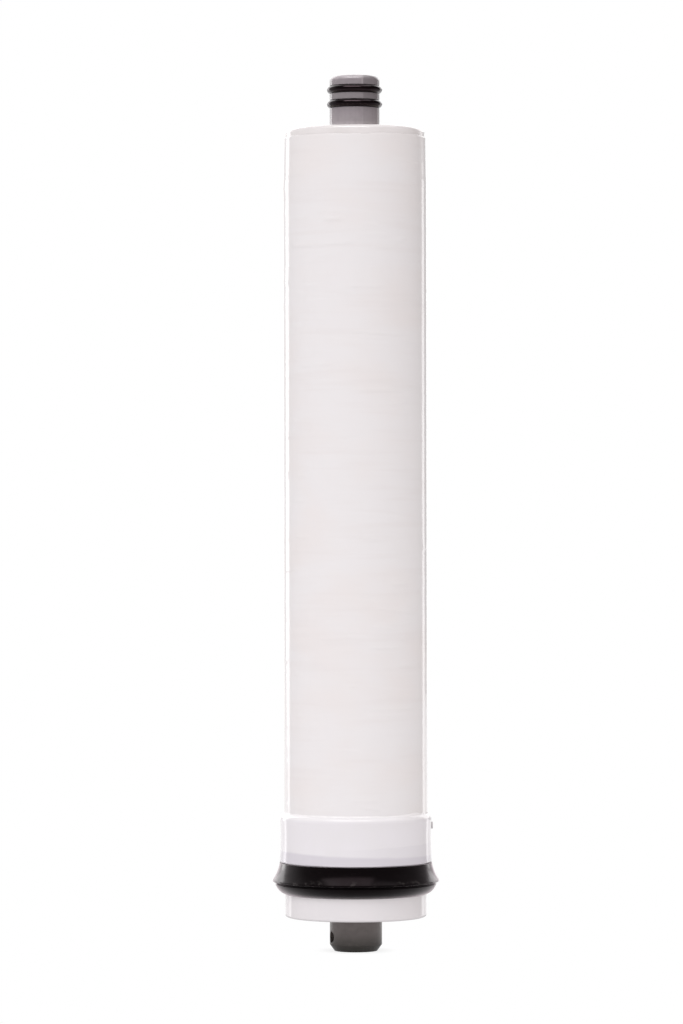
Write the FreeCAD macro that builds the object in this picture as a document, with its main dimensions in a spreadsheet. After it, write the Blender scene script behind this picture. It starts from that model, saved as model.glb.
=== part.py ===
import FreeCAD, Part
import Sketcher
import math
import os

# A spiral-wound reverse-osmosis membrane element of the household "2012" size class.
# It stands on the flat end of its tail stem: the origin is the middle of that face and +Z runs up
# the permeate tube. Each sub-part is drawn in its own frame and seated by its Placement.

DOCUMENT = FreeCAD.newDocument("membrane_element")

# Driving dimensions in millimetres (angles in degrees): alias, value, what it is.
DIMENSIONS = [
    ("tail_exposed", 11.6, "length of tail stem below the end cap"),
    ("tail_stem_od", 17.8, "outside diameter of the tail stem"),
    ("tail_chamfer", 1.6, "chamfer across the end face of the tail stem"),
    ("tail_chamfer_rise", 2.2, "chamfer along the side of the tail stem"),
    ("tail_edge_break", 0.1, "small chamfer where the tail stem meets the end cap"),
    ("tail_recess_bore", 10.4, "bore of the blind recess in the tail stem"),
    ("tail_recess_depth", 9.4, "depth of that recess"),
    ("pull_hole_bore", 4.0, "hole across the tail stem"),
    ("pull_hole_height", 4.8, "height of that hole above the end face"),
    ("spigot_od", 11.6, "diameter of the plug's spigot, and of the tube's counterbore"),
    ("spigot_length", 14.0, "length of the plug's spigot in the tube"),
    ("spigot_chamfer", 1.0, "lead-in chamfer on the spigot"),
    ("tube_od", 17.0, "outside diameter of the permeate tube"),
    ("tube_bore", 10.6, "bore of the permeate tube"),
    ("product_stem_exposed", 18.38, "length of tube above the roll"),
    ("product_end_round", 1.6, "rounding of the tube's product end"),
    ("o_ring_cord", 2.62, "cord diameter of the O-rings"),
    ("o_ring_depth", 4.65, "product end to the middle of the first O-ring"),
    ("o_ring_spacing", 4.9, "between the middles of the two O-rings"),
    ("o_groove_root", 13.6, "root diameter of an O-ring groove"),
    ("o_groove_width", 2.76, "width of an O-ring groove"),
    ("perforation_bore", 1.6, "bore of the permeate holes in the tube"),
    ("perforation_spacing", 38.0, "between two levels of permeate holes"),
    ("leaf_width", 246.6, "length of the roll, the width of its leaf"),
    ("leaf_thickness", 0.56, "membrane, permeate carrier and membrane"),
    ("spacer_thickness", 0.655, "thickness of the feed spacer net"),
    ("spacer_recess", 0.6, "the net's edge behind the leaf's at each end"),
    ("layer_gap", 0.015, "least clearance between wound layers"),
    ("sleeve_od", 47.7, "outside diameter of the film sleeve"),
    ("film_thickness", 0.32, "wall of the film sleeve"),
    ("shoulder_round", 1.4, "outer rounding of the sleeve's upper end"),
    ("rim_width", 2.6, "how far the sleeve is turned in over the roll"),
    ("tape_thickness", 0.33, "tape at its upper edge"),
    ("tape_build_up", 0.35, "further thickness where the tape overlaps itself"),
    ("tape_run_out", 16.5, "length over which the overlap runs out"),
    ("tape_edge_drop", 3.1, "upper tape edge below the sleeve's top"),
    ("ring_height", 7.8, "height of the end cap's lower ring"),
    ("ring_flange", 1.1, "lower ring proud of the seal groove's root"),
    ("ring_round", 0.9, "rounding of the lower ring's bottom edge"),
    ("groove_width", 10.75, "width of the brine seal's groove"),
    ("groove_wall", 1.4, "wall of the end cap behind the seal groove"),
    ("ledge_thickness", 1.45, "ledge between the groove and the roll"),
    ("ledge_width", 3.0, "how far the ledge reaches in under the roll"),
    ("collar_overlap", 15.2, "collar's height above the ledge"),
    ("collar_wall", 1.3, "wall of the collar"),
    ("collar_waist", 0.2, "hollow of the collar's side"),
    ("collar_foot_round", 0.7, "rounding of the collar's lower edge"),
    ("collar_lip_width", 0.15, "flat top edge of the collar"),
    ("collar_top_round", 2.3, "radius of the collar's rounded top edge"),
    ("hub_wall", 2.6, "wall of the end cap's hub"),
    ("spoke_thickness", 2.0, "thickness of a spoke"),
    ("spoke_recess", 1.2, "lower edge of the spokes above the ring's bottom"),
    ("gate_bore", 2.4, "diameter of the moulding gate's nub"),
    ("gate_proud", 0.35, "nub proud of the collar"),
    ("gate_drop", 4.1, "nub's middle below the collar's top"),
    ("gate_angle", -20.0, "direction of the nub from +X"),
    ("seal_shoulder", 2.95, "seal's top proud of the groove's root"),
    ("lip_reach", 5.3, "lip proud of the groove's root"),
    ("lip_height", 4.55, "lip's edge above the groove's floor"),
    ("lip_thickness", 0.55, "thickness of the lip's edge"),
    ("lip_flare", 14.0, "radius of the hollow flare above the lip"),
    ("notch_reach", 2.7, "bottom of the seal's notch from the groove's root"),
    ("notch_height", 5.3, "bottom of the notch above the groove's floor"),
    ("heel_reach", 4.45, "seal's heel proud of the groove's root"),
    ("heel_height", 3.35, "upper edge of the heel above the groove's floor"),
    ("heel_round", 5.2, "radius of the heel's swelling side"),
    ("heel_foot", 1.15, "heel's bottom edge proud of the groove's root"),
    ("seat_gap", 0.02, "clearance of seated and glued faces"),
    ("fit_gap", 0.05, "clearance of slid-on fits"),
]
PERFORATION_LEVELS = 6
SPOKES = 6


class Size:
    """A length held as its number and as the expression that gives it from the sheet."""

    def __init__(self, value, text):
        self.value = value
        self.text = text

    @staticmethod
    def of(other):
        return other if isinstance(other, Size) else Size(other, repr(other))

    def __add__(self, other):
        other = Size.of(other)
        return Size(self.value + other.value, f"({self.text} + {other.text})")

    def __sub__(self, other):
        other = Size.of(other)
        return Size(self.value - other.value, f"({self.text} - {other.text})")

    def __mul__(self, other):
        other = Size.of(other)
        return Size(self.value * other.value, f"({self.text} * {other.text})")

    def __truediv__(self, other):
        other = Size.of(other)
        return Size(self.value / other.value, f"({self.text} / {other.text})")


ZERO = Size(0.0, "0")


def make_sheet():
    """Put the driving dimensions in the spreadsheet and return them by name."""
    sheet = DOCUMENT.addObject("Spreadsheet::Sheet", "Sizes")
    sizes = {}
    for row, (alias, value, meaning) in enumerate(DIMENSIONS, start=1):
        sheet.set(f"A{row}", str(value))
        sheet.setAlias(f"A{row}", alias)
        sheet.set(f"B{row}", meaning)
        sizes[alias] = Size(value, f"Sizes.{alias}")
    DOCUMENT.recompute()
    return sizes


class Namespace:
    """The sizes as attributes, so that formulas read as words."""

    def __init__(self, values):
        self.__dict__.update(values)


s = Namespace(make_sheet())

# Heights, from the end face of the tail stem up.
cap_floor = s.tail_exposed
groove_floor = cap_floor + s.ring_height
groove_roof = groove_floor + s.groove_width
ledge_top = groove_roof + s.ledge_thickness
collar_top = ledge_top + s.collar_overlap
leaf_floor = ledge_top + s.seat_gap
leaf_top = leaf_floor + s.leaf_width
sleeve_top = leaf_top + s.shoulder_round
tape_top = sleeve_top - s.tape_edge_drop
tube_floor = cap_floor + s.seat_gap
overall_height = sleeve_top + s.product_stem_exposed

# Radii, from the tube outward.
tube_radius = s.tube_od / 2
tail_radius = s.tail_stem_od / 2
sleeve_radius = s.sleeve_od / 2
sleeve_inner = sleeve_radius - s.film_thickness
tape_inner = sleeve_radius + s.seat_gap
tape_edge_radius = tape_inner + s.tape_thickness
tape_radius = tape_edge_radius + s.tape_build_up
collar_inner = tape_radius + s.fit_gap
collar_radius = collar_inner + s.collar_wall
throat_radius = collar_inner - s.ledge_width
groove_root = throat_radius + s.groove_wall
ring_radius = groove_root + s.ring_flange
hub_bore_radius = tube_radius + s.fit_gap
hub_radius = hub_bore_radius + s.hub_wall


def new_body(name, height=ZERO):
    """A body labelled as its node and seated at its height on the axis."""
    body = DOCUMENT.addObject("PartDesign::Body", name)
    body.Label = name
    body.setExpression("Placement.Base.z", height.text)
    return body


def origin_plane(body, role):
    return next(item for item in body.Origin.OriginFeatures if item.Role == role)


def new_sketch(body, name, plane="XZ_Plane"):
    sketch = body.newObject("Sketcher::SketchObject", name)
    sketch.AttachmentSupport = (origin_plane(body, plane), [""])
    sketch.MapMode = "FlatFace"
    return sketch


def arc_through(start, end, radius):
    """Arc from start to end; a positive radius turns left on the way and a negative one right."""
    chord = end - start
    middle = (start + end) / 2
    rise = math.sqrt(max(radius * radius - chord.Length ** 2 / 4, 0))
    left = FreeCAD.Vector(-chord.y, chord.x, 0).normalize()
    centre = middle + left * (rise if radius > 0 else -rise)
    first, last = (start, end) if radius > 0 else (end, start)
    circle = Part.Circle(centre, FreeCAD.Vector(0, 0, 1), abs(radius))
    begin = math.atan2(first.y - centre.y, first.x - centre.x)
    finish = math.atan2(last.y - centre.y, last.x - centre.x)
    if finish < begin:
        finish += 2 * math.pi
    return Part.ArcOfCircle(circle, begin, finish)


def pin_point(sketch, geometry, corner, across, up):
    """Tie one corner of the outline to its two sizes, or to an axis where a size is nothing."""
    for kind, axis, size in (("DistanceX", -2, across), ("DistanceY", -1, up)):
        if size is ZERO:
            sketch.addConstraint(Sketcher.Constraint("PointOnObject", geometry, corner, axis))
        else:
            number = sketch.addConstraint(
                Sketcher.Constraint(kind, -1, 1, geometry, corner, size.value))
            sketch.setExpression(f"Constraints[{number}]", size.text)


def outline(sketch, corners):
    """Closed outline: each corner is (across, up), with the radius of an arc that leaves it, if any.

    An arc's radius comes with "left" or "right", the way the outline turns along it.
    """
    points = [FreeCAD.Vector(corner[0].value, corner[1].value, 0) for corner in corners]
    leaving = []
    arriving = []
    for index, corner in enumerate(corners):
        start = points[index]
        end = points[(index + 1) % len(points)]
        if len(corner) == 2:
            sketch.addGeometry(Part.LineSegment(start, end))
            leaving.append((index, 1))
            arriving.append((index, 2))
        else:
            turn = 1 if corner[3] == "left" else -1
            sketch.addGeometry(arc_through(start, end, turn * corner[2].value))
            leaving.append((index, 1 if turn > 0 else 2))
            arriving.append((index, 2 if turn > 0 else 1))
    for index, corner in enumerate(corners):
        sketch.addConstraint(
            Sketcher.Constraint("Coincident", *arriving[index - 1], *leaving[index]))
        pin_point(sketch, *leaving[index], corner[0], corner[1])
        if len(corner) > 2:
            number = sketch.addConstraint(
                Sketcher.Constraint("Radius", index, corner[2].value))
            sketch.setExpression(f"Constraints[{number}]", corner[2].text)


def turned(body, name, corners, kind="PartDesign::Revolution"):
    """Turn an outline round the body's axis, to add material or, as a groove, to cut it."""
    sketch = new_sketch(body, name + "_section")
    outline(sketch, corners)
    feature = body.newObject(kind, name)
    feature.Profile = sketch
    feature.ReferenceAxis = (sketch, ["V_Axis"])
    feature.Angle = 360
    body.Tip = feature
    DOCUMENT.recompute()
    return feature


def drilled(body, name, bore, height, plane):
    """Hole straight through the body, square to one of its upright planes."""
    before = body.Shape.Volume
    sketch = new_sketch(body, name + "_circle", plane)
    sketch.addGeometry(Part.Circle(FreeCAD.Vector(0, height.value, 0),
                                   FreeCAD.Vector(0, 0, 1), bore.value / 2))
    sketch.addConstraint(Sketcher.Constraint("PointOnObject", 0, 3, -2))
    for constraint, size in (
            (Sketcher.Constraint("DistanceY", -1, 1, 0, 3, height.value), height),
            (Sketcher.Constraint("Diameter", 0, bore.value), bore)):
        number = sketch.addConstraint(constraint)
        sketch.setExpression(f"Constraints[{number}]", size.text)
    pocket = body.newObject("PartDesign::Pocket", name)
    pocket.Profile = sketch
    pocket.Type = "ThroughAll"
    pocket.SideType = "Symmetric"
    body.Tip = pocket
    DOCUMENT.recompute()
    if body.Shape.Volume >= before:
        raise RuntimeError(f"{name} cuts nothing")
    return pocket


def ring_edge(feature, radius, height):
    """Name of the round edge of a turned shape at a radius and a height."""
    for number, edge in enumerate(feature.Shape.Edges, start=1):
        if isinstance(edge.Curve, Part.Circle):
            same_radius = abs(edge.Curve.Radius - radius.value) < 1e-4
            same_height = abs(edge.Curve.Center.z - height.value) < 1e-4
            if same_radius and same_height:
                return f"Edge{number}"
    raise RuntimeError(f"no round edge at radius {radius.value}, height {height.value}")


def rounded(body, name, edges, radius):
    """Round some edges of the body's last feature."""
    base = body.Tip
    fillet = body.newObject("PartDesign::Fillet", name)
    fillet.Base = (base, edges)
    fillet.setExpression("Radius", radius.text)
    body.Tip = fillet
    DOCUMENT.recompute()
    return fillet


def make_tail_plug():
    """Plug glued in the feed end of the tube; its head is the tail stem with the pull-out hole.

    The head is a little wider than the tube, so that it holds the end cap on.
    """
    body = new_body("tail_plug")
    shoulder = cap_floor
    spigot_radius = s.spigot_od / 2 - s.seat_gap
    spigot_top = shoulder + s.spigot_length
    turned(body, "plug_blank", [
        (s.tail_recess_bore / 2, ZERO),
        (tail_radius - s.tail_chamfer, ZERO),
        (tail_radius, s.tail_chamfer_rise),
        (tail_radius, shoulder - s.tail_edge_break),
        (tail_radius - s.tail_edge_break, shoulder),
        (spigot_radius, shoulder),
        (spigot_radius, spigot_top - s.spigot_chamfer),
        (spigot_radius - s.spigot_chamfer, spigot_top),
        (ZERO, spigot_top),
        (ZERO, s.tail_recess_depth),
        (s.tail_recess_bore / 2, s.tail_recess_depth),
    ])
    drilled(body, "pull_hole", s.pull_hole_bore, s.pull_hole_height, "YZ_Plane")
    return body


def make_permeate_tube():
    """Extruded tube with holes along the roll and two turned O-ring grooves at the product end."""
    body = new_body("permeate_tube", tube_floor)
    length = overall_height - tube_floor
    turned(body, "tube_blank", [
        (s.spigot_od / 2, ZERO),
        (tube_radius, ZERO),
        (tube_radius, length),
        (s.tube_bore / 2, length),
        (s.tube_bore / 2, s.spigot_length),
        (s.spigot_od / 2, s.spigot_length),
    ])
    for number in range(2):
        middle = length - s.o_ring_depth - s.o_ring_spacing * number
        lower = middle - s.o_groove_width / 2
        upper = middle + s.o_groove_width / 2
        turned(body, f"o_ring_groove_{number + 1}", [
            (s.o_groove_root / 2, lower),
            (tube_radius + s.fit_gap, lower),
            (tube_radius + s.fit_gap, upper),
            (s.o_groove_root / 2, upper),
        ], "PartDesign::Groove")
    rounded(body, "product_end", [ring_edge(body.Tip, tube_radius, length)], s.product_end_round)
    row_length = s.perforation_spacing * (PERFORATION_LEVELS - 1)
    first_level = leaf_floor - tube_floor + (s.leaf_width - row_length) / 2
    for number, plane in enumerate(("XZ_Plane", "YZ_Plane")):
        level = first_level + s.perforation_spacing * number
        hole = drilled(body, f"perforation_{number + 1}", s.perforation_bore, level, plane)
        row = body.newObject("PartDesign::LinearPattern", f"perforation_row_{number + 1}")
        row.Originals = [hole]
        row.Direction = (origin_plane(body, "Z_Axis"), [""])
        row.Occurrences = PERFORATION_LEVELS // 2
        row.setExpression("Length",
                          (s.perforation_spacing * (PERFORATION_LEVELS - 2)).text)
        body.Tip = row
        DOCUMENT.recompute()
    return body


def make_o_ring(name, number):
    """O-ring seated on the root of its groove, counted from the product end."""
    ring = DOCUMENT.addObject("Part::Torus", name)
    ring.Label = name
    ring.setExpression("Radius1", (s.o_groove_root / 2 + s.seat_gap + s.o_ring_cord / 2).text)
    ring.setExpression("Radius2", (s.o_ring_cord / 2).text)
    middle = overall_height - s.o_ring_depth - s.o_ring_spacing * number
    ring.setExpression("Placement.Base.z", middle.text)
    return ring


def half_turn(centre, radius, lower_half):
    """Half circle round a point of the X axis, from its +X end over the top or below it."""
    side = -1 if lower_half else 1
    return Part.Arc(FreeCAD.Vector(centre + side * radius, 0, 0),
                    FreeCAD.Vector(centre, side * radius, 0),
                    FreeCAD.Vector(centre - side * radius, 0, 0)).toShape()


def spiral_section(inner_radius, thickness, pitch, half_turns):
    """Section of a wound sheet, as half circles about two centres half a pitch apart."""
    inner = []
    outer = []
    for turn in range(half_turns):
        lower_half = turn % 2 == 1
        centre = pitch / 2 if lower_half else 0.0
        radius = inner_radius + turn * pitch / 2
        inner.append(half_turn(centre, radius, lower_half))
        outer.append(half_turn(centre, radius + thickness, lower_half))
    start = Part.LineSegment(inner[0].Vertexes[0].Point, outer[0].Vertexes[0].Point).toShape()
    end = Part.LineSegment(inner[-1].Vertexes[-1].Point, outer[-1].Vertexes[-1].Point).toShape()
    edges = Part.__sortEdges__(inner + [end] + outer + [start])
    return Part.Face(Part.Wire(edges))


def make_wound_sheet(name, section, floor, height):
    """Stand a spiral section up to the sheet's width."""
    profile = DOCUMENT.addObject("Part::Feature", name + "_spiral")
    profile.Shape = section
    sheet = DOCUMENT.addObject("Part::Extrusion", name)
    sheet.Label = name
    sheet.Base = profile
    sheet.DirMode = "Custom"
    sheet.Dir = FreeCAD.Vector(0, 0, 1)
    sheet.Solid = True
    sheet.setExpression("LengthFwd", height.text)
    sheet.setExpression("Placement.Base.z", floor.text)
    return sheet


def make_roll():
    """The leaf and the feed spacer, wound together until they fill the sleeve."""
    start = tube_radius.value + s.layer_gap.value
    room = sleeve_inner.value - s.layer_gap.value - start
    layers = s.leaf_thickness.value + s.spacer_thickness.value
    # A whole number of turns fills the room; the layers share out what they leave.
    turns = math.floor(room / (layers + s.layer_gap.value * 2))
    pitch = room / turns
    gap = (pitch - layers) / 2
    # The last half turn is centred on the tube, so their number is odd.
    half_turns = 2 * turns - 1
    leaf = spiral_section(start, s.leaf_thickness.value, pitch, half_turns)
    spacer_start = start + s.leaf_thickness.value + gap
    spacer = spiral_section(spacer_start, s.spacer_thickness.value, pitch, half_turns)
    return [
        make_wound_sheet("membrane_leaf", leaf, leaf_floor, s.leaf_width),
        make_wound_sheet("feed_spacer", spacer, leaf_floor + s.spacer_recess,
                         s.leaf_width - s.spacer_recess * 2),
    ]


def make_film_sleeve():
    """Film round the roll, turned in over the roll's upper end with a rounded shoulder."""
    body = new_body("film_sleeve", leaf_floor)
    top = sleeve_top - leaf_floor
    inner_round = s.shoulder_round - s.film_thickness
    rim_radius = sleeve_inner - s.rim_width
    turned(body, "film", [
        (sleeve_inner, ZERO),
        (sleeve_radius, ZERO),
        (sleeve_radius, top - s.shoulder_round, s.shoulder_round, "left"),
        (sleeve_radius - s.shoulder_round, top),
        (rim_radius, top),
        (rim_radius, top - s.film_thickness),
        (sleeve_inner - inner_round, top - s.film_thickness, inner_round, "right"),
        (sleeve_inner, top - s.shoulder_round),
    ])
    return body


def make_outer_tape():
    """Tape over the sleeve, thicker where its turns overlap and thin at its upper edge."""
    body = new_body("outer_tape", leaf_floor)
    top = tape_top - leaf_floor
    turned(body, "tape", [
        (tape_inner, ZERO),
        (tape_radius, ZERO),
        (tape_radius, top - s.tape_run_out),
        (tape_edge_radius, top),
        (tape_inner, top),
    ])
    return body


def make_end_cap():
    """Moulded cap: collar, seal groove and lower ring, with spokes to a hub round the plug."""
    body = new_body("end_cap", cap_floor)
    groove_low = s.ring_height
    groove_high = groove_low + s.groove_width
    ledge = groove_high + s.ledge_thickness
    top = ledge + s.collar_overlap
    lip_radius = collar_inner + s.collar_lip_width
    bevel_width = collar_radius - lip_radius
    # How far below the top the round edge starts: it is part of a circle tangent to the side.
    bevel_drop_value = math.sqrt(s.collar_top_round.value ** 2
                                 - (s.collar_top_round.value - bevel_width.value) ** 2)
    bevel_drop = Size(bevel_drop_value,
                      f"sqrt({s.collar_top_round.text} ^ 2"
                      f" - ({s.collar_top_round.text} - {bevel_width.text}) ^ 2)")
    side_top = top - bevel_drop
    side_foot = groove_high + s.collar_foot_round
    side = side_top - side_foot
    waist_radius = side * side / (s.collar_waist * 8) + s.collar_waist / 2
    turned(body, "cap_wall", [
        (throat_radius, ZERO),
        (ring_radius - s.ring_round, ZERO, s.ring_round, "left"),
        (ring_radius, s.ring_round),
        (ring_radius, groove_low),
        (groove_root, groove_low),
        (groove_root, groove_high),
        (collar_radius - s.collar_foot_round, groove_high, s.collar_foot_round, "left"),
        (collar_radius, side_foot, waist_radius, "right"),
        (collar_radius, side_top, s.collar_top_round, "left"),
        (lip_radius, top),
        (collar_inner, top),
        (collar_inner, ledge),
        (throat_radius, ledge),
    ])
    make_spokes(body, ledge)
    turned(body, "hub", [
        (hub_bore_radius, ZERO),
        (hub_radius, ZERO),
        (hub_radius, ledge),
        (hub_bore_radius, ledge),
    ])
    make_gate_nub(body, top)
    return body


def make_spokes(body, ledge):
    """Upright spokes from the hub's wall to the wall behind the seal groove."""
    inner = hub_bore_radius + s.hub_wall / 2
    outer = throat_radius + s.groove_wall / 2
    sketch = new_sketch(body, "spoke_plan", "XY_Plane")
    sketch.setExpression("AttachmentOffset.Base.z", s.spoke_recess.text)
    half = s.spoke_thickness / 2
    low, high = -half.value, half.value
    near, far = inner.value, outer.value
    plan = [FreeCAD.Vector(near, low, 0), FreeCAD.Vector(far, low, 0),
            FreeCAD.Vector(far, high, 0), FreeCAD.Vector(near, high, 0)]
    for index in range(4):
        sketch.addGeometry(Part.LineSegment(plan[index], plan[(index + 1) % 4]))
    for index in range(4):
        sketch.addConstraint(Sketcher.Constraint("Coincident", index, 2, (index + 1) % 4, 1))
    for index, kind in enumerate(("Horizontal", "Vertical", "Horizontal")):
        sketch.addConstraint(Sketcher.Constraint(kind, index))
    sketch.addConstraint(Sketcher.Constraint("Symmetric", 0, 1, 3, 1, -1))
    for constraint, size in (
            (Sketcher.Constraint("DistanceX", -1, 1, 0, 1, near), inner),
            (Sketcher.Constraint("DistanceX", -1, 1, 0, 2, far), outer),
            (Sketcher.Constraint("Distance", 1, high - low), s.spoke_thickness)):
        number = sketch.addConstraint(constraint)
        sketch.setExpression(f"Constraints[{number}]", size.text)
    spoke = body.newObject("PartDesign::Pad", "spoke")
    spoke.Profile = sketch
    spoke.setExpression("Length", (ledge - s.spoke_recess).text)
    body.Tip = spoke
    DOCUMENT.recompute()
    spider = body.newObject("PartDesign::PolarPattern", "spider")
    spider.Originals = [spoke]
    spider.Axis = (origin_plane(body, "Z_Axis"), [""])
    spider.Angle = 360
    spider.Occurrences = SPOKES
    body.Tip = spider
    DOCUMENT.recompute()


def make_gate_nub(body, top):
    """Short stub left on the collar where the mould was filled."""
    nub = body.newObject("PartDesign::AdditiveCylinder", "gate_nub")
    angle = math.radians(s.gate_angle.value)
    outward = FreeCAD.Vector(math.cos(angle), math.sin(angle), 0)
    nub.AttachmentSupport = None
    turn = FreeCAD.Rotation(FreeCAD.Vector(0, 0, 1), outward)
    start = collar_radius - s.collar_wall / 2
    nub.Placement = FreeCAD.Placement(outward * start.value, turn)
    nub.setExpression("Radius", (s.gate_bore / 2).text)
    nub.setExpression("Height", (s.collar_wall / 2 + s.gate_proud).text)
    nub.setExpression("Placement.Base.x", f"{start.text} * cos({s.gate_angle.text} * 1 deg)")
    nub.setExpression("Placement.Base.y", f"{start.text} * sin({s.gate_angle.text} * 1 deg)")
    nub.setExpression("Placement.Base.z", (top - s.gate_drop).text)
    body.Tip = nub
    DOCUMENT.recompute()


def make_brine_seal():
    """Rubber lip seal in the cap's groove; the lip and its notch open toward the feed end."""
    body = new_body("brine_seal", groove_floor + s.seat_gap)
    inner = groove_root + s.seat_gap
    top = s.groove_width - s.seat_gap * 2
    lip_edge = groove_root + s.lip_reach
    turned(body, "seal", [
        (inner, ZERO),
        (groove_root + s.heel_foot, ZERO, s.heel_round, "left"),
        (groove_root + s.heel_reach, s.heel_height),
        (groove_root + s.notch_reach, s.notch_height),
        (lip_edge, s.lip_height - s.lip_thickness / 2),
        (lip_edge, s.lip_height + s.lip_thickness / 2, s.lip_flare, "right"),
        (groove_root + s.seal_shoulder, top),
        (inner, top),
    ])
    return body


def check(parts):
    """Stop if any feature failed or a sub-part isn't one sound solid."""
    for item in DOCUMENT.Objects:
        if "Invalid" in item.State or "Error" in item.State:
            raise RuntimeError(f"{item.Name} failed: {item.State}")
    for part in parts:
        shape = part.Shape
        if shape.isNull() or not shape.isValid() or len(shape.Solids) != 1:
            raise RuntimeError(f"{part.Label} isn't one sound solid")


def main():
    parts = [make_tail_plug(), make_permeate_tube()]
    parts += [make_o_ring("o_ring_outer", 0), make_o_ring("o_ring_inner", 1)]
    parts += make_roll()
    parts += [make_film_sleeve(), make_outer_tape(), make_end_cap(), make_brine_seal()]
    DOCUMENT.recompute()
    check(parts)
    os.makedirs("parts", exist_ok=True)
    for part in parts:
        part.Shape.exportStep(f"parts/{part.Label}.step")
        print(part.Label, round(part.Shape.Volume, 1), "mm3")


main()
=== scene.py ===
"""Looks of a household reverse-osmosis membrane element, built round its CAD frame.

The wound tape and the film under it are modelled here with their wrap edges and creases and
stand for their CAD nodes, and a bead of glue is added. Every other CAD node keeps its shape and
gets its finish; some finishes have light and shade painted into their colours. Materials, lamps
and the camera are in metres, and the mesh functions work in millimetres. Places on the object
come from the frame's boxes, apart from those of the folds, the creases and the painted shade
round the gate's nub, which are written here.
"""

import math
import random

import bpy
import numpy as np
from mathutils import Matrix, Vector, noise


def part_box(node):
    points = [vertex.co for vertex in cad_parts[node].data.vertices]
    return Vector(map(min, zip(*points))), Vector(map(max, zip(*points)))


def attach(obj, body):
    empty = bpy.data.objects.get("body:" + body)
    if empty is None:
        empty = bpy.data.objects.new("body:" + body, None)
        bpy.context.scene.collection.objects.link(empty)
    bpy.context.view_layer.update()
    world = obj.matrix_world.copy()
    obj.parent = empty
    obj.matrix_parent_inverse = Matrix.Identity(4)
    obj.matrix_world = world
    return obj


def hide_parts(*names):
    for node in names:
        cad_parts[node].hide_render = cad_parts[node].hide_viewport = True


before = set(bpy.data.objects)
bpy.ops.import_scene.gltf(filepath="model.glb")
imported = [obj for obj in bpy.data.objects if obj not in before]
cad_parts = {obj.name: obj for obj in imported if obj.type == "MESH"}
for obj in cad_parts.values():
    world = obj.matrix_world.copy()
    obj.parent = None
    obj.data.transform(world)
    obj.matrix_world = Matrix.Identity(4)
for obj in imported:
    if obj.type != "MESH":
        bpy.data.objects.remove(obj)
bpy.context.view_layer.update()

MM = 0.001
UP = Vector((0, 0, 1))

# The view: the camera stands level, well back, and a little left of the tube's axis.
VIEW_AZIMUTH = math.radians(-20)
VIEW_DISTANCE = 1550 * MM
VIEW_HEIGHT = 149.5 * MM
VIEW_SIDESTEP = -4.68 * MM
VIEW_ROLL = math.radians(0.1)
VIEW_SPAN = 349.2 * MM
SENSOR_HEIGHT = 36.0
TOWARD_VIEW = Vector((math.sin(VIEW_AZIMUTH), -math.cos(VIEW_AZIMUTH), 0))
VIEW_RIGHT = Vector((math.cos(VIEW_AZIMUTH), math.sin(VIEW_AZIMUTH), 0))

# The moulding gate's nub: its bearing, its distance from the axis and how far its middle is
# below the collar's top.
GATE_BEARING = math.radians(-20)
GATE_RADIUS = 26.1 * MM
GATE_DROP = 4.1 * MM


def seen_from(right, toward, up):
    """Point by its distances to the view's right, toward the camera and above the floor."""
    return VIEW_RIGHT * right + TOWARD_VIEW * toward + UP * up


def node_span(node):
    """Lowest height, highest height and greatest radius of a CAD node, in millimetres."""
    low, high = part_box(node)
    return low[2] / MM, high[2] / MM, high[0] / MM


# ---------------------------------------------------------------- materials

def srgb(red, green, blue):
    """Linear colour of a colour written in 0-255 display values."""
    def linear(value):
        value /= 255
        return value / 12.92 if value <= 0.04045 else ((value + 0.055) / 1.055) ** 2.4
    return (linear(red), linear(green), linear(blue), 1.0)


def grey(value):
    """Grey of this linear brightness."""
    return (value, value, value, 1.0)


class Tree:
    """Short calls that make the nodes of one shader tree and join them."""

    def __init__(self, owner):
        owner.use_nodes = True
        self.nodes = owner.node_tree.nodes
        self.links = owner.node_tree.links

    def new(self, kind, **settings):
        node = self.nodes.new("ShaderNode" + kind)
        for name, value in settings.items():
            setattr(node, name, value)
        return node

    def feed(self, socket, value):
        """Join a socket to another one, or set its number or colour."""
        if isinstance(value, bpy.types.NodeSocket):
            self.links.new(value, socket)
        else:
            socket.default_value = value

    def maths(self, operation, *values):
        node = self.new("Math", operation=operation)
        for socket, value in zip(node.inputs, values):
            self.feed(socket, value)
        return node.outputs[0]

    def product(self, value, *others):
        """Value multiplied by each of the others."""
        for other in others:
            value = self.maths("MULTIPLY", value, other)
        return value

    def dot(self, vector, direction):
        node = self.new("VectorMath", operation="DOT_PRODUCT")
        self.feed(node.inputs[0], vector)
        self.feed(node.inputs[1], direction)
        return node.outputs["Value"]

    def between(self, value, low, high, out_low=0.0, out_high=1.0, curve="SMOOTHSTEP"):
        """Value between low and high, spread over the output range and held beyond it."""
        ramp = self.new("MapRange", interpolation_type=curve)
        self.feed(ramp.inputs["Value"], value)
        for socket, number in zip(ramp.inputs[1:5], (low, high, out_low, out_high)):
            self.feed(socket, number)
        return ramp.outputs["Result"]

    def mix(self, amount, first, second):
        """First number where amount is 0, second where it is 1."""
        node = self.new("Mix")
        self.feed(node.inputs["Factor"], amount)
        self.feed(node.inputs["A"], first)
        self.feed(node.inputs["B"], second)
        return node.outputs["Result"]

    def mix_colour(self, amount, first, second):
        """First colour where amount is 0, second where it is 1."""
        node = self.new("Mix", data_type="RGBA")
        # The node has sockets for each kind of value under the same names; the colours' come
        # after those of numbers and vectors.
        factor, colour_a, colour_b, colour_result = 0, 6, 7, 2
        self.feed(node.inputs[factor], amount)
        self.feed(node.inputs[colour_a], first)
        self.feed(node.inputs[colour_b], second)
        return node.outputs[colour_result]

    def mix_shader(self, amount, first, second):
        node = self.new("MixShader")
        for socket, value in zip(node.inputs, (amount, first, second)):
            self.feed(socket, value)
        return node.outputs[0]


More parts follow.
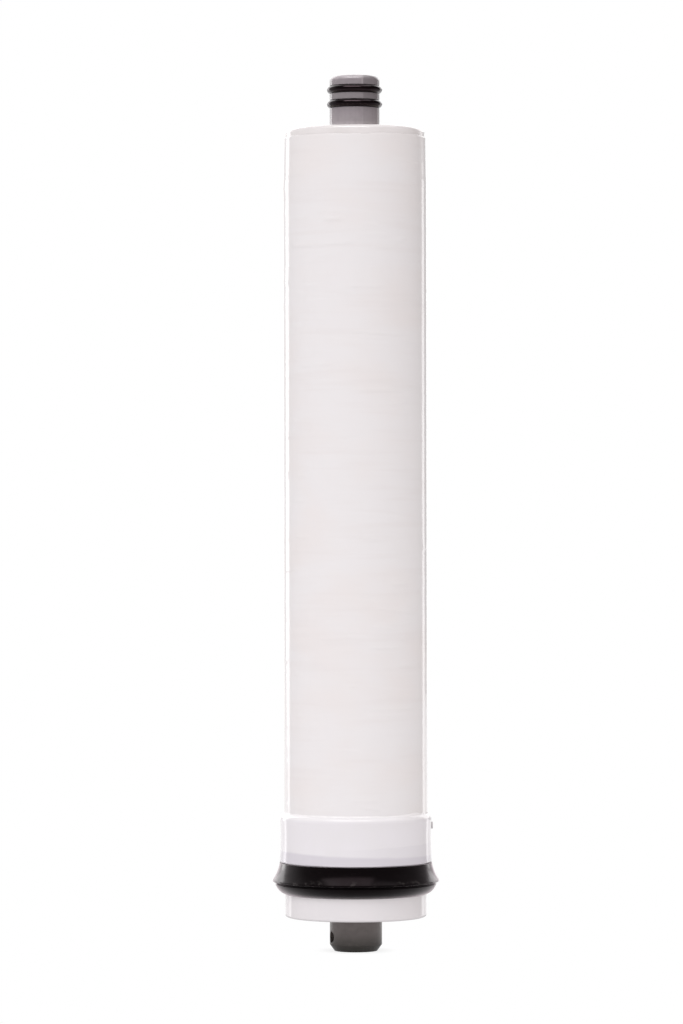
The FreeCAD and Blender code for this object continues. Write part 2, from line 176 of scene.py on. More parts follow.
class Finish(Tree):
    """A Principled material and short calls that vary it over the surface."""

    def __init__(self, name, colour, roughness, **sockets):
        self.material = bpy.data.materials.new(name)
        super().__init__(self.material)
        self.shader = self.nodes["Principled BSDF"]
        self.shader.inputs["Base Color"].default_value = colour
        self.shader.inputs["Roughness"].default_value = roughness
        for socket, value in sockets.items():
            self.shader.inputs[socket.replace("_", " ")].default_value = value
        self.place = self.new("TexCoord").outputs["Object"]
        self.normal = None

    def cloud(self, size, detail=3.0, stretch=(1, 1, 1)):
        """Soft noise from 0 to 1 with features of about size metres, longer where stretched."""
        mapping = self.new("Mapping")
        mapping.inputs["Scale"].default_value = [1 / length for length in stretch]
        self.feed(mapping.inputs["Vector"], self.place)
        texture = self.new("TexNoise")
        texture.inputs["Scale"].default_value = 1 / size
        texture.inputs["Detail"].default_value = detail
        self.feed(texture.inputs["Vector"], mapping.outputs["Vector"])
        return texture.outputs["Fac"]

    def along(self, direction):
        """Distance along a direction, in metres."""
        return self.dot(self.place, direction)

    def radius(self):
        """Distance from the tube's axis, in metres."""
        flat = self.new("VectorMath", operation="MULTIPLY")
        self.feed(flat.inputs[0], self.place)
        flat.inputs[1].default_value = (1, 1, 0)
        length = self.new("VectorMath", operation="LENGTH")
        self.feed(length.inputs[0], flat.outputs[0])
        return length.outputs["Value"]

    def tint(self, amount, colour):
        """Mix a colour into the base colour where amount is high."""
        base = self.shader.inputs["Base Color"]
        under = base.links[0].from_socket if base.is_linked else tuple(base.default_value)
        self.feed(base, self.mix_colour(amount, under, colour))

    def roughen(self, amount, low, high):
        """Vary the roughness from low to high with amount."""
        self.feed(self.shader.inputs["Roughness"], self.between(amount, 0.0, 1.0, low, high))

    def soften(self, radius):
        """Shade the edges as if rounded to this radius."""
        bevel = self.new("Bevel", samples=6)
        bevel.inputs["Radius"].default_value = radius
        self.normal = bevel.outputs["Normal"]
        self.feed(self.shader.inputs["Normal"], self.normal)

    def emboss(self, height, depth):
        """Raise the surface by depth metres where height is 1."""
        bump = self.new("Bump")
        bump.inputs["Strength"].default_value = 1.0
        bump.inputs["Distance"].default_value = depth
        self.feed(bump.inputs["Height"], height)
        if self.normal is not None:
            self.feed(bump.inputs["Normal"], self.normal)
        self.normal = bump.outputs["Normal"]
        self.feed(self.shader.inputs["Normal"], self.normal)


# Glossy plastic that is dull head on and bright at grazing angles.
GLOSS = {"IOR": 2.0, "Specular_Tint": grey(0.2)}


def tape_finish():
    """Glossy white tape: faint warmer and greyer turns, streaks along the winding."""
    finish = Finish("wound_tape", srgb(229, 227, 228), 0.1, **GLOSS)
    finish.tint(finish.between(finish.cloud(30 * MM, 2, (1, 1, 0.6)), 0.4, 0.7, 0.0, 0.6),
                srgb(228, 223, 222))
    finish.tint(finish.between(finish.cloud(9 * MM, 2, (4, 4, 0.3)), 0.5, 0.75, 0.0, 0.35),
                srgb(224, 220, 220))
    finish.roughen(finish.cloud(12 * MM, 2, (2, 2, 0.5)), 0.08, 0.14)
    finish.emboss(finish.cloud(3 * MM, 3, (6, 6, 0.8)), 0.003 * MM)
    finish.emboss(finish.cloud(1.2 * MM, 2), 0.0015 * MM)
    return finish.material


def film_finish():
    """White film under the tape, turned in over the roll's end."""
    finish = Finish("sleeve_film", srgb(230, 226, 226), 0.18, Coat_Weight=0.6,
                    Coat_Roughness=0.12)
    finish.tint(finish.between(finish.cloud(8 * MM, 3), 0.4, 0.7, 0.0, 0.8), srgb(224, 220, 219))
    finish.roughen(finish.cloud(4 * MM), 0.14, 0.26)
    finish.emboss(finish.cloud(1.5 * MM, 3), 0.01 * MM)
    return finish.material


def cap_finish():
    """Translucent-white moulding: painted shade greys the foot of the collar, where the solid
    ledge is.
    """
    finish = Finish("cap_moulding", srgb(227, 224, 226), 0.12, **GLOSS)
    seal_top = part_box("brine_seal")[1].z
    collar_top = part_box("end_cap")[1].z
    height = finish.along(UP)
    right = finish.along(VIEW_RIGHT)
    above_seal = finish.between(height, seal_top - 0.3 * MM, seal_top)
    # Painted light: the collar above the seal is tinted a little cooler than the ring below it,
    # for the colour of the light there.
    finish.tint(finish.product(above_seal, 0.8), srgb(226, 224, 228))
    finish.tint(finish.between(finish.cloud(11 * MM, 2), 0.4, 0.7, 0.0, 0.5),
                srgb(224, 222, 224))
    # Painted shade where the ledge and the glue above it lie under the collar, up to wavy lines
    # that lean a little.
    wave = finish.product(finish.cloud(9 * MM, 1), 0.8 * MM)
    ledge_lean, glue_lean = VIEW_RIGHT * 0.031, VIEW_RIGHT * -0.039
    ledge_shade = finish.between(finish.maths("ADD", finish.along(UP + ledge_lean), wave),
                           seal_top + 3.3 * MM, seal_top + 4.4 * MM, 0.85, 0.0)
    glue = finish.between(finish.maths("ADD", finish.along(UP + glue_lean), wave),
                          seal_top + 6.2 * MM, seal_top + 6.7 * MM, 1.0, 0.0)
    glue = finish.product(glue, finish.between(right, -15 * MM, 20 * MM, 0.0, 0.25))
    for painted_shade in (ledge_shade, glue):
        finish.tint(finish.product(painted_shade, above_seal), srgb(206, 203, 210))
    # Painted highlight: a lighter line on the collar along the seal's top, except at its two
    # sides.
    line = finish.product(finish.between(height, seal_top + 0.9 * MM, seal_top + 0.4 * MM),
                          finish.between(right, 12 * MM, 5 * MM),
                          finish.between(right, -14 * MM, -5 * MM))
    finish.tint(finish.product(line, above_seal), srgb(229, 226, 232))
    # Painted highlight: a lighter band at the top of the collar, where its edge turns up to the
    # light.
    finish.tint(finish.between(height, collar_top - 1.5 * MM, collar_top - 0.9 * MM),
                srgb(233, 231, 233))
    # Painted shade: a darker spot round the gate's nub.
    gate = finish.new("VectorMath", operation="DISTANCE")
    finish.feed(gate.inputs[0], finish.place)
    gate.inputs[1].default_value = (math.cos(GATE_BEARING) * GATE_RADIUS,
                                    math.sin(GATE_BEARING) * GATE_RADIUS,
                                    collar_top - GATE_DROP)
    finish.tint(finish.between(gate.outputs["Value"], 1.1 * MM, 1.4 * MM, 0.7, 0.0),
                srgb(188, 184, 182))
    finish.roughen(finish.cloud(6 * MM), 0.08, 0.16)
    finish.soften(0.15 * MM)
    finish.emboss(finish.cloud(1.4 * MM, 2), 0.002 * MM)
    return finish.material


def glue_finish():
    """Milky hot glue."""
    finish = Finish("glue", srgb(242, 240, 241), 0.25, **GLOSS)
    finish.tint(finish.between(finish.cloud(3 * MM), 0.4, 0.7, 0.0, 0.6), srgb(236, 234, 235))
    finish.emboss(finish.cloud(1.5 * MM), 0.01 * MM)
    return finish.material


def extruded(finish, shade, rounding):
    """Faint lines along the axis and finer mottling."""
    finish.tint(finish.between(finish.cloud(2.2 * MM, 4), 0.4, 0.7, 0.0, 0.2), shade)
    finish.tint(finish.between(finish.cloud(1.2 * MM, 2, (1, 1, 14)), 0.45, 0.75, 0.0, 0.08),
                shade)
    finish.roughen(finish.cloud(1.6 * MM), 0.15, 0.26)
    finish.soften(rounding)
    finish.emboss(finish.cloud(0.7 * MM, 3, (1, 1, 6)), 0.002 * MM)
    return finish.material


def tube_finish():
    """Satin extruded plastic with painted light and shade, a little darker at its end, and a faint
    parting line there.
    """
    finish = Finish("tube_plastic", srgb(192, 184, 189), 0.2, Specular_IOR_Level=0.8)
    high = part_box("permeate_tube")[1].z
    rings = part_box("o_ring_inner")[0].z
    height = finish.along(UP)
    across = finish.along(VIEW_RIGHT)
    at_end = finish.between(height, high - 5 * MM, high - 4.5 * MM)
    # Painted light and shade: lighter just above the white film, which throws light on the tube,
    # and darker toward and between the O-rings and at its end.
    finish.tint(finish.between(height, rings - 6 * MM, rings - 4.5 * MM), srgb(170, 162, 167))
    finish.tint(finish.between(height, rings - 5 * MM, rings + 0.5 * MM), srgb(150, 142, 147))
    finish.tint(finish.between(height, rings, rings + 1 * MM), srgb(139, 133, 136))
    finish.tint(at_end, srgb(147, 139, 144))
    # Painted highlight on the rounded end.
    finish.tint(finish.between(height, high - 1.7 * MM, high - 0.9 * MM, 0.0, 0.5),
                srgb(212, 206, 209))
    front = finish.between(finish.along(TOWARD_VIEW), 0.0, 2 * MM)
    # Painted shade to the right of the parting line, on the side toward the view, stronger above
    # the O-rings.
    shade_past_line = finish.product(
        finish.between(across, 2.8 * MM, 3.1 * MM), front,
        finish.between(height, rings + 0.5 * MM, rings + 1.5 * MM, 0.2, 0.8))
    finish.tint(shade_past_line, srgb(120, 114, 117))
    line = finish.product(finish.between(across, 2.3 * MM, 2.5 * MM),
                          finish.between(across, 2.9 * MM, 2.7 * MM))
    finish.tint(finish.product(at_end, front, line), srgb(162, 156, 159))
    return extruded(finish, srgb(128, 121, 126), 0.3 * MM)


def plug_finish():
    """The plug's plastic: browner than the tube, with painted shade darkening it toward its foot.
    """
    finish = Finish("plug_plastic", srgb(63, 59, 54), 0.2)
    # Painted shade: darker toward the foot, over its lowest 9 mm, by the floor.
    finish.tint(finish.between(finish.along(UP), 0.0, 9 * MM), srgb(127, 119, 117))
    return extruded(finish, srgb(92, 87, 84), 0.15 * MM)


def rubber_finish(name, colour, dust, roughness, dusting, shine, bloom):
    """Moulded rubber, mottled and a little dusty.

    shine is what it reflects head on, and bloom the pale sheen at grazing angles.
    """
    finish = Finish(name, colour, roughness,
                    Specular_Tint=(shine, shine * 0.72, shine * 0.82, 1.0),
                    Sheen_Weight=bloom, Sheen_Roughness=0.3, Sheen_Tint=(1.0, 0.88, 0.94, 1.0))
    finish.tint(finish.between(finish.cloud(2 * MM, 5), 0.52, 0.85, 0.0, dusting), dust)
    finish.roughen(finish.cloud(3 * MM), roughness - 0.04, roughness + 0.06)
    finish.soften(0.2 * MM)
    finish.emboss(finish.cloud(0.5 * MM, 3), 0.005 * MM)
    return finish


def o_ring_finish():
    """Rubber of the two O-rings, glossier than the seal's."""
    return rubber_finish("o_ring_rubber", srgb(7, 3, 4), srgb(20, 14, 16), roughness=0.11,
                         dusting=0.2, shine=0.75, bloom=0.0).material


def seal_finish():
    """Brine seal rubber, dustier round the edge of its lip."""
    finish = rubber_finish("seal_rubber", srgb(11, 8, 9), srgb(28, 24, 25), roughness=0.16,
                           dusting=0.3, shine=0.04, bloom=1.0)
    finish.shader.inputs["IOR"].default_value = 1.8
    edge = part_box("brine_seal")[1].x
    lip = finish.between(finish.radius(), edge - 1.1 * MM, edge - 0.1 * MM)
    patches = finish.between(finish.cloud(2.4 * MM, 4, (1, 1, 0.6)), 0.55, 0.68)
    finish.tint(finish.product(lip, patches, 0.4), srgb(70, 67, 66))
    return finish.material


def membrane_finish():
    """Edge of the wound leaf: matt, ivory, with the fibres of its backing."""
    finish = Finish("membrane_sheet", srgb(228, 226, 217), 0.65)
    finish.tint(finish.between(finish.cloud(1.1 * MM, 3), 0.35, 0.7), srgb(212, 209, 198))
    finish.tint(finish.between(finish.cloud(4 * MM, 2), 0.5, 0.75, 0.0, 0.5),
                srgb(236, 233, 222))
    finish.emboss(finish.cloud(0.4 * MM, 2), 0.03 * MM)
    return finish.material


def net_finish():
    """Feed net between the leaf's turns: strands that cross, with shade between them."""
    finish = Finish("feed_net", srgb(214, 217, 219), 0.4)
    strands = finish.between(finish.cloud(0.9 * MM, 1), 0.42, 0.56)
    finish.tint(strands, srgb(150, 154, 156))
    finish.emboss(finish.cloud(0.9 * MM, 1), 0.25 * MM)
    return finish.material


# ---------------------------------------------------------------- meshes

def dress(node, material):
    """Give a CAD node its finish."""
    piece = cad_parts[node]
    piece.data.materials.clear()
    piece.data.materials.append(material)


def own_piece(name, mesh, material, node=None):
    """A piece of this script, which may stand for a CAD node."""
    piece = bpy.data.objects.new(name, mesh)
    bpy.context.scene.collection.objects.link(piece)
    mesh.materials.append(material)
    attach(piece, "root")
    if node:
        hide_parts(node)


def closed_turning(name, rings):
    """Closed mesh from a loop of rings, each an array of as many points, in millimetres."""
    count, segments = len(rings), len(rings[0])
    points = np.concatenate(rings) * MM
    step = np.arange(segments)
    beside = (step + 1) % segments
    faces = []
    for row in range(count):
        low = row * segments
        high = (row + 1) % count * segments
        faces.append(np.stack([low + step, low + beside, high + beside, high + step], 1))
    mesh = bpy.data.meshes.new(name)
    mesh.from_pydata(points.tolist(), [], np.concatenate(faces).tolist())
    mesh.polygons.foreach_set("use_smooth", [True] * len(mesh.polygons))
    mesh.update()
    return mesh


def round_axis(segments):
    """Angles once round the axis, and each one's bearing in degrees to the view's right."""
    angles = np.linspace(0, 2 * math.pi, segments, endpoint=False)
    toward = math.degrees(math.atan2(TOWARD_VIEW.y, TOWARD_VIEW.x))
    return angles, (np.degrees(angles) - toward) % 360


def quarter_turn(steps):
    """Share of a quarter turn and its angle at each step, from none to the whole of it."""
    return [(step / steps, math.radians(90 * step / steps)) for step in range(steps + 1)]


def ring(radius, angles, height):
    """Points round the axis; radius and height are numbers or one value for each angle."""
    height = np.broadcast_to(height, angles.shape)
    return np.stack([radius * np.cos(angles), radius * np.sin(angles), height], 1)


# Radius of the roll that sets the scale of the noise round it, in millimetres.
ROLL_RADIUS = 24.5


def rough(angles, height, across, up, seed):
    """Noise from -1 to 1 over the roll's side, in features of across by up millimetres."""
    turn = ROLL_RADIUS / across
    falloff, lacunarity, octaves = 1.0, 2.0, 2
    values = np.empty(len(angles))
    for index, angle in enumerate(angles):
        spot = Vector((math.cos(angle) * turn, math.sin(angle) * turn, height / up + seed))
        values[index] = noise.fractal(spot, falloff, lacunarity, octaves)
    return values


# The folds that show most on the side toward the view: the bearing in degrees to its right and
# the height in millimetres where each starts and where it ends, the way it faces, and how strong
# it is.
FOLDS = [
    (-60, 239, -35, 239, "down", 2.0), (-35, 239, 0, 240, "down", 1.2),
    (-25, 248, -10, 248, "ridge", 2.4), (0, 243, 25, 243, "up", 0.8),
    (35, 241, 45, 241, "ridge", 1.5), (-45, 226, -30, 226, "up", 1.0),
    (-5, 225, 25, 225, "down", 1.2), (-45, 221, -15, 221, "up", 0.6),
    (-60, 212, -50, 212, "down", 0.9), (-5, 210, 40, 209, "down", 0.8),
    (0, 190, 40, 190, "down", 1.2), (-60, 153, -45, 153, "down", 0.9),
    (-55, 141, -40, 141, "ridge", 0.8), (0, 141, 20, 140, "down", 0.8),
    (30, 125, 45, 125, "down", 1.4), (15, 117, 55, 115, "down", 0.8),
    (20, 112, 50, 112, "up", 0.8), (-5, 91, 0, 91, "ridge", 1.0),
    (10, 83, 55, 83, "down", 0.6), (10, 81, 40, 81, "up", 0.8),
    (5, 50, 20, 49, "down", 0.9),
]

# Upper edge of the tape, with a small step where its end is: bearings in degrees to the view's
# right, and how far the edge is lifted at each, in millimetres.
EDGE_BEARINGS = (0, 10, 15, 25, 60, 200, 300, 330, 350, 360)
EDGE_LIFTS = (0.05, 0.05, 0.45, 0.55, 0.55, 0.3, 0.35, 0.35, 0.1, 0.05)


def drawn_creases(draw, count, bearings, lengths, strengths):
    """Creases at drawn places, within ranges of bearing and length in degrees and of strength."""
    lowest, highest = 52, 268
    creases = []
    for _ in range(count):
        start = draw.uniform(*bearings)
        end = start + draw.uniform(*lengths)
        height = draw.uniform(lowest, highest)
        rise = draw.uniform(-1.2, 1.0)
        kind = draw.choice(("down", "down", "up", "ridge"))
        creases.append((start, height, end, height + rise, kind, draw.uniform(*strengths)))
    return creases


def all_creases():
    """The folds toward the view, more creases round the rest and fainter ones among the folds."""
    draw = random.Random(31)
    creases = FOLDS + drawn_creases(draw, 70, (64, 285), (8, 45), (0.4, 1.0))
    return creases + drawn_creases(draw, 24, (-64, 50), (8, 35), (0.3, 0.9))


def crease_height(right, height, crease):
    """How far one crease lifts the surface at one height, from 0 to its strength, by bearing."""
    start, low, end, high, kind, strength = crease
    middle, half = (start + end) / 2, (end - start) / 2
    offset = (right - middle + 180) % 360 - 180
    over = height - ((low + high) / 2 + (high - low) / 2 * np.clip(offset / half, -1, 1))
    # Each crease runs 15% past its ends and fades out over half of its half length.
    taper = np.clip((1.15 - np.abs(offset) / half) / 0.5, 0, 1)
    taper = taper * taper * (3 - 2 * taper)
    # Widths in millimetres of a ridge, and of the steep and the gentle side of a step.
    ridge, steep, gentle = 0.5, 0.25, 1.5
    if kind == "ridge":
        shape = np.exp(-(over / ridge) ** 2)
    else:
        beyond = over if kind == "down" else -over
        shape = np.where(beyond > 0, np.exp(-beyond / gentle), np.exp(-(over / steep) ** 2))
    return shape * taper * strength


def make_tape_wrap():
    """Tape wound round the film: helical overlap edges, creases and a wavy upper edge."""
    segments = 160
    row_height = 0.45
    wall = 0.68
    inset = 0.03
    # Pitches of the two windings, how high the first's overlap is, and how much of that the
    # second's is.
    descending, rising = 14.5, 31.0
    layer, fainter = 0.045, 0.6
    fold_depth, fold_reach = 0.13, 9
    # Length below the upper edge that takes up the edge's lift, and how far it draws in there.
    run_out, draw_in, draw_in_power = 16.5, 0.35, 1.3
    # The edge starts this far down, because its rounded lip adds about as much again: the rise
    # and inward step of each of the lip's rings.
    edge_drop = 0.35
    lip = ((0.12, 0.012), (0.22, 0.045), (0.3, 0.1), (0.35, 0.17), (0.37, 0.26))
    # The wrap keeps clear of the CAD tape's surface in the collar, and may stand proud above it,
    # from a little below the collar's top and fully after a short rise.
    clear, proud = 0.01, 0.35
    below_collar_top, proud_rise = 0.3, 1.5

    floor, top, radius = node_span("outer_tape")
    collar_top = node_span("end_cap")[1]
    angles, right = round_axis(segments)
    turns = np.arange(segments) / segments
    edge = (top + np.interp(right, EDGE_BEARINGS, EDGE_LIFTS) - edge_drop
            + 0.06 * rough(angles, 0, 8, 1, 3.3))
    creases = all_creases()
    rings = []
    rows = int((top - floor) / row_height)
    for row in range(rows + 1):
        level = floor + row / rows * (top - floor)
        run = np.clip((level - top + run_out) / run_out, 0, 1)
        height = level + (edge - top) * run
        # The overlap edges come and go along the roll.
        fade = 0.5 + 0.5 * rough(angles, level, 30, 8, 11.0)
        steps = layer * fade * (((level / descending + turns) % 1) - 1)
        steps += fainter * layer * fade[::-1] * (((level / rising - turns) % 1) - 1)
        waves = 0.03 * rough(angles, level, 16, 9, 5.0) + 0.012 * rough(angles, level, 9, 1.6, 8.0)
        folds = np.zeros(segments)
        for crease in creases:
            start_height, end_height = crease[1], crease[3]
            if abs(level - (start_height + end_height) / 2) < fold_reach:
                folds += fold_depth * crease_height(right, level, crease)
        side = radius - inset - draw_in * run ** draw_in_power + (steps + waves + folds)
        freed = np.clip((level - collar_top + below_collar_top) / proud_rise, 0, 1)
        side = np.minimum(side, radius - clear + proud * freed)
        rings.append(ring(side, angles, height))
    for rise, inward in lip:
        rings.append(ring(side - inward, angles, edge + rise))
    inner = radius - wall
    rings.append(ring(inner, angles, edge + lip[-1][0]))
    for level in (top - 40, floor + 20, floor):
        rings.append(ring(inner, angles, level))
    return closed_turning("tape_wrap", rings)


def make_film_shoulder():
    """Film under the tape, rounded over the roll's upper end and turned in with small pleats."""
    wall, bend, rim_width = 0.32, 1.4, 2.6
    # How far below the top the film's waves and its end's tilt reach.
    wave_reach, tilt_reach = 20, 12
    floor, top, radius = node_span("film_sleeve")
    inner = radius - wall
    angles, right = round_axis(240)
    tilt = 0.3 + 0.1 * (np.sin(np.radians(right)) - 1)
    wave = 0.05 * rough(angles, 0, 10, 1, 21.0)
    pleats = rough(angles, 0, 2.2, 1, 41.0)

    def at(distance, height, lift=0.0, ripple=0.0):
        """Ring at a height from the top; the pleats raise it by lift and move it by ripple."""
        return ring(distance + wave * (height > -wave_reach) + ripple * pleats, angles,
                    top + height + (tilt + lift * pleats) * (height > -tilt_reach))

    rings = [at(radius, floor - top)]
    rings += [at(radius, -drop) for drop in (30.0, 10.0, 5.0, 4.0, 3.2, 2.6, 2.1, 1.7)]
    for share, turn in quarter_turn(8):
        rings.append(at(radius - bend * (1 - math.cos(turn)), -bend * (1 - math.sin(turn)),
                        0.02 * share))
    for share in (0.25, 0.5, 0.75):
        rings.append(at(radius - bend - (rim_width - bend - wall) * share, -0.02 * share,
                        0.02 + 0.05 * share))
    # The rim's pleated edge, and then back under it and down the inside.
    edge = inner - rim_width + 0.1
    rings += [at(edge, -0.05, 0.07, 0.12), at(edge - 0.04, -0.12, 0.06, 0.12),
              at(edge - 0.04, -wall, 0.05, 0.12)]
    inner_bend = bend - wall
    for _, turn in reversed(quarter_turn(4)):
        rings.append(at(inner - inner_bend * (1 - math.cos(turn)),
                        -wall - inner_bend * (1 - math.sin(turn))))
    rings += [at(inner, -30.0), at(inner, floor - top)]
    return closed_turning("film_shoulder", rings)


def make_glue_bead():
    """Fillet of milky glue where the wrap goes into the collar."""
    collar_top = node_span("end_cap")[1]
    radius = node_span("outer_tape")[2]
    angles, _ = round_axis(160)
    height = 1.05 + 0.25 * rough(angles, 0, 9, 1, 61.0)
    reach = 0.42 + 0.06 * rough(angles, 0, 12, 1, 71.0)
    # Its back is inside the wrap and its foot inside the collar.
    back, front, foot = radius - 0.3, radius - 0.07, collar_top - 0.25
    rings = [ring(back, angles, foot), ring(back, angles, collar_top + height)]
    for _, turn in quarter_turn(8):
        rings.append(ring(front + reach * (1 - math.cos(turn)), angles,
                          collar_top - 0.12 + height * (1 - math.sin(turn))))
    rings.append(ring(front + reach, angles, foot))
    return closed_turning("glue_bead", rings)


# ---------------------------------------------------------------- stage

def make_floor():
    """White floor that keeps the shadow near the object and runs out into plain white."""
    reach = 1.0
    mesh = bpy.data.meshes.new("floor")
    mesh.from_pydata([(-reach, -reach, 0), (reach, -reach, 0), (reach, reach, 0),
                      (-reach, reach, 0)], [], [(0, 1, 2, 3)])
    floor = bpy.data.objects.new("floor", mesh)
    floor.location.z = -0.02 * MM
    bpy.context.scene.collection.objects.link(floor)
    material = bpy.data.materials.new("floor_white")
    mesh.materials.append(material)
    tree = Tree(material)
    tree.nodes.clear()
    offset = tree.new("VectorMath", operation="LENGTH")
    tree.feed(offset.inputs[0], tree.new("TexCoord").outputs["Object"])
    distance = offset.outputs["Value"]
    # The camera finds a faint shadow close to the object and plain white beyond it.
    veil = tree.new("BsdfDiffuse")
    veil.inputs["Color"].default_value = grey(0.25)
    lift = tree.new("Emission")
    lift.inputs["Strength"].default_value = 0.84
    shadowed = tree.new("AddShader")
    tree.feed(shadowed.inputs[0], veil.outputs[0])
    tree.feed(shadowed.inputs[1], lift.outputs[0])
    seen = tree.mix_shader(tree.between(distance, 8 * MM, 15 * MM), shadowed.outputs[0],
                           tree.new("Emission").outputs[0])
    # Diffuse light finds a pale floor with painted shade, darker under the object.
    lit = tree.new("BsdfDiffuse")
    tree.feed(lit.inputs["Color"], tree.mix_colour(tree.between(distance, 7 * MM, 36 * MM),
                                                   grey(0.3), grey(0.92)))
    # Reflections find the shade close round the object; farther out they look past the floor
    # to the world's white panels.
    shade = tree.new("Emission")
    tree.feed(shade.inputs["Strength"], tree.between(distance, 10 * MM, 45 * MM, 0.4, 0.7))
    reflected = tree.mix_shader(tree.between(distance, 110 * MM, 140 * MM), shade.outputs[0],
                                tree.new("BsdfTransparent").outputs[0])
    path = tree.new("LightPath")
    shown = tree.mix_shader(path.outputs["Is Camera Ray"], lit.outputs[0], seen)
    shown = tree.mix_shader(path.outputs["Is Glossy Ray"], shown, reflected)
    output = tree.new("OutputMaterial")
    tree.feed(output.inputs["Surface"], shown)


# Soft light on the object: from behind it and from the camera's side; more comes from above.
AMBIENT_BACK = (0.485, 0.44, 0.42, 1.0)
AMBIENT_FRONT = (0.88, 0.86, 0.87, 1.0)
AMBIENT_LEAN = 0.35
AMBIENT_FROM = (TOWARD_VIEW - VIEW_RIGHT * 0.5).normalized()
# What a glossy surface finds round the horizon: degrees to the right of the view, brightness.
HORIZON = [
    (-180, 1.5), (-163, 1.4), (-157, 0.85), (-148, 0.85), (-145, 3.4), (-136, 3.4), (-131, 0.55),
    (-100, 0.4), (-60, 0.2), (-30, 0.14), (60, 0.14), (100, 0.4), (135, 0.4), (138, 2.1),
    (145, 2.1), (148, 0.45), (160, 0.45), (168, 1.5), (180, 1.5),
]


def reflected_patches(bearing, height, toward):
    """What reflections find over the horizon's panels, each patch laid over those before it.

    A patch is its brightness and then its limits: a value, where it starts and where it is full.
    Bearings are in radians to the view's right, height and toward are parts of the direction.
    """
    return (
        # The panel on the right ends a little above eye level.
        (0.45, (bearing, 2.0, 2.2), (height, 0.075, 0.1), (height, 0.2, 0.16)),
        # Low down behind, on each side, is the table.
        (1.2, (bearing, 2.5, 2.6), (height, -0.03, -0.05)),
        (1.15, (bearing, -2.3, -2.5), (height, -0.03, -0.06)),
        # Above eye level on the right it is dark.
        (0.05, (bearing, 0.6, 1.2), (height, 0.02, 0.08), (bearing, 2.45, 2.2)),
        # Overhead: white behind the object and dark in front, with a paler zenith.
        (1.9, (toward, -0.62, -0.8), (height, 0.1, 0.14)),
        (0.08, (height, 0.15, 0.3), (toward, -0.2, 0.1)),
        (1.0, (height, 0.75, 0.9), (toward, 0.2, -0.1)),
        # Two soft boxes, at the right and in front.
        (1.8, (height, 0.7, 0.8), (height, 0.96, 0.9), (bearing, 0.45, 0.7), (bearing, 2.2, 1.8)),
        (5.2, (height, 0.6, 0.68), (height, 0.92, 0.85), (bearing, -1.1, -0.9),
         (bearing, 0.6, 0.45)),
        # The table farther out, as steep views find it.
        (0.7, (height, -0.3, -0.5)),
    )


def make_world():
    """White behind everything; reflections find white panels round the object, dimmer sides."""
    world = bpy.data.worlds.new("studio")
    bpy.context.scene.world = world
    world.cycles.sampling_method = "NONE"
    tree = Tree(world)
    tree.nodes.clear()
    direction = tree.new("TexCoord").outputs["Generated"]
    toward = tree.dot(direction, TOWARD_VIEW)
    height = tree.dot(direction, UP)
    bearing = tree.maths("ARCTAN2", tree.dot(direction, VIEW_RIGHT), toward)
    panels = tree.new("ValToRGB")
    stops = panels.color_ramp.elements
    while len(stops) < len(HORIZON):
        stops.new(0.5)
    for stop, (degrees, _) in zip(stops, HORIZON):
        stop.position = (degrees + 180) / 360
    for stop, (_, brightness) in zip(stops, HORIZON):
        stop.color = grey(brightness)
    tree.feed(panels.inputs["Fac"], tree.between(bearing, -math.pi, math.pi, curve="LINEAR"))
    glossy = panels.outputs["Color"]
    for brightness, *limits in reflected_patches(bearing, height, toward):
        inside = tree.product(*(tree.between(*limit) for limit in limits))
        glossy = tree.mix(inside, glossy, brightness)
    front = tree.between(tree.dot(direction, AMBIENT_FROM), -1.0, 1.0, curve="LINEAR")
    lean = tree.between(height, -1.0, 1.0, 1 - AMBIENT_LEAN, 1 + AMBIENT_LEAN, "LINEAR")
    ambient = tree.new("VectorMath", operation="SCALE")
    tree.feed(ambient.inputs[0], tree.mix_colour(front, AMBIENT_BACK, AMBIENT_FRONT))
    tree.feed(ambient.inputs["Scale"], lean)
    path = tree.new("LightPath")
    lit = tree.mix_colour(path.outputs["Is Glossy Ray"], ambient.outputs[0], glossy)
    seen = tree.maths("MAXIMUM", path.outputs["Is Camera Ray"],
                      path.outputs["Is Transmission Ray"])
    background = tree.new("Background")
    tree.feed(background.inputs["Color"], tree.mix_colour(seen, lit, grey(1.0)))
    output = tree.new("OutputWorld")
    tree.feed(output.inputs["Surface"], background.outputs[0])


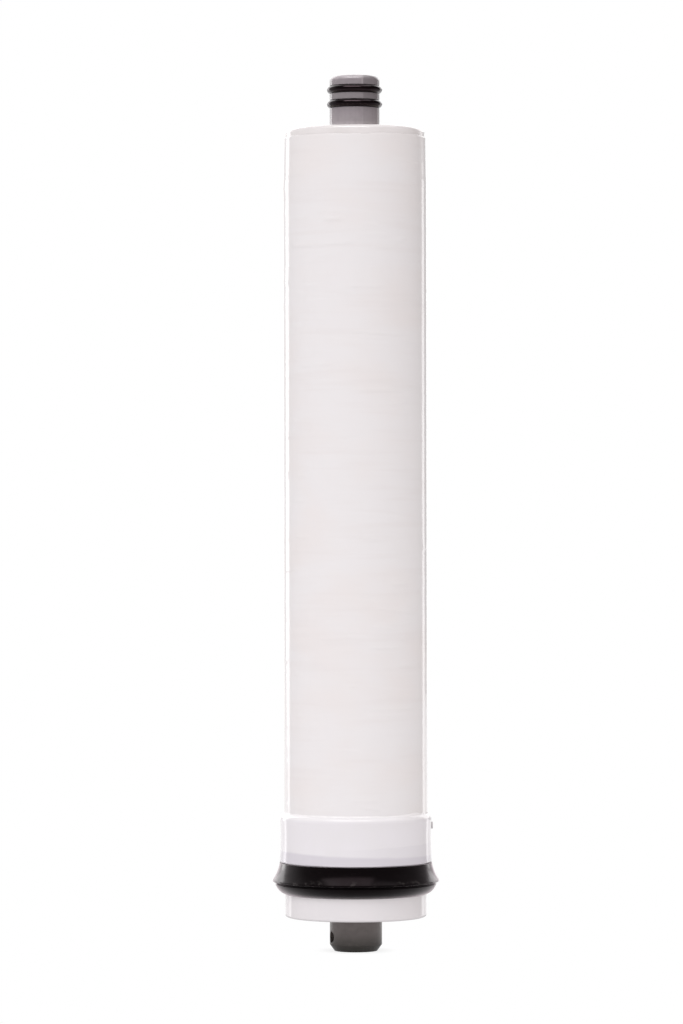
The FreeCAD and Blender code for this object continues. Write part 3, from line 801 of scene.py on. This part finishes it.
def add_lamp(name, place, width, height, power, colour=(1, 1, 1)):
    """Soft rectangular lamp aimed at the object; reflections find the world's panels instead."""
    lamp = bpy.data.lights.new(name, "AREA")
    lamp.shape = "RECTANGLE"
    lamp.size = width
    lamp.size_y = height
    lamp.energy = power
    lamp.color = colour
    holder = bpy.data.objects.new(name, lamp)
    holder.location = place
    holder.visible_glossy = False
    holder.visible_camera = False
    aim = UP * VIEW_HEIGHT - place
    holder.rotation_euler = aim.to_track_quat("-Z", "Y").to_euler()
    bpy.context.scene.collection.objects.link(holder)


def make_lamps():
    add_lamp("key", seen_from(-1.5, 3.3, 3.9), 2.4, 2.4, 68.0, (0.98, 0.99, 1.0))
    add_lamp("low_right", seen_from(0.19, 0.11, 0.02), 0.12, 0.12, 0.038)
    add_lamp("low_left", seen_from(-0.19, 0.11, 0.012), 0.12, 0.12, 0.028)


def make_camera():
    camera = bpy.data.cameras.new("camera")
    camera.sensor_fit = "VERTICAL"
    camera.sensor_height = SENSOR_HEIGHT
    camera.lens = SENSOR_HEIGHT / 2 / (VIEW_SPAN / 2 / VIEW_DISTANCE)
    camera.clip_start, camera.clip_end = 0.05, 20
    holder = bpy.data.objects.new("camera", camera)
    holder.location = seen_from(VIEW_SIDESTEP, VIEW_DISTANCE, VIEW_HEIGHT)
    level = (-TOWARD_VIEW).to_track_quat("-Z", "Y").to_matrix()
    holder.rotation_euler = (level @ Matrix.Rotation(-VIEW_ROLL, 3, "Z")).to_euler()
    bpy.context.scene.collection.objects.link(holder)
    bpy.context.scene.camera = holder


def main():
    dress("permeate_tube", tube_finish())
    dress("tail_plug", plug_finish())
    o_ring = o_ring_finish()
    dress("o_ring_outer", o_ring)
    dress("o_ring_inner", o_ring)
    dress("brine_seal", seal_finish())
    dress("end_cap", cap_finish())
    dress("membrane_leaf", membrane_finish())
    dress("feed_spacer", net_finish())
    own_piece("tape_wrap", make_tape_wrap(), tape_finish(), "outer_tape")
    own_piece("film_shoulder", make_film_shoulder(), film_finish(), "film_sleeve")
    own_piece("glue_bead", make_glue_bead(), glue_finish())
    make_floor()
    make_world()
    make_lamps()
    make_camera()


main()
bpy.context.scene.view_settings.view_transform = "Standard"
